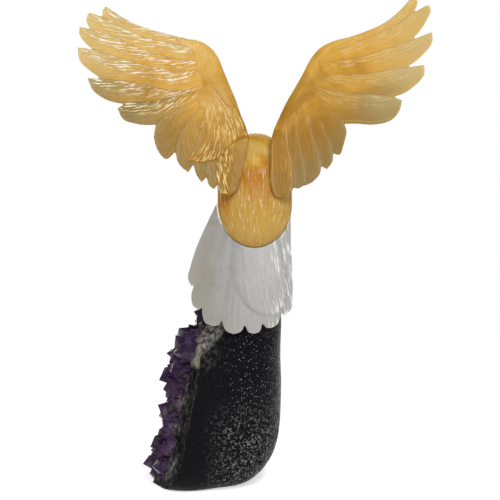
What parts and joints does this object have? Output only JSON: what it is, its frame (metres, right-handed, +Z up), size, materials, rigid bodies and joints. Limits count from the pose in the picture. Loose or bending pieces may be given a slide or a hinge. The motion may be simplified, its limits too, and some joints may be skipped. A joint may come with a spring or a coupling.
{
  "type": "carved stone eagle figurine",
  "caption": "Carved calcite eagle with raised, spread wings and a fanned tail, standing on a tall chunk of amethyst geode with a dark crust.",
  "frame": {"origin": "middle of the stone's flat underside, on the surface it stands on", "axes": "+Z up, +Y the way the eagle faces, +X to the eagle's right"},
  "size_m": [0.2115, 0.1025, 0.2965],
  "materials": {
    "amethyst_stone": "black lacquered crust, purple crystals and grey quartz on the broken sides",
    "honey_calcite": "polished, translucent honey orange, with engraved strokes",
    "white_calcite": "polished, translucent milky white",
    "amber_calcite": "polished golden yellow"
  },
  "bodies": {
    "root": {"amethyst_stone": "amethyst_stone", "body": "honey_calcite", "left_wing": "honey_calcite", "right_wing": "honey_calcite", "tail": "white_calcite", "head": "white_calcite", "beak": "amber_calcite"}
  },
  "joints": []
}
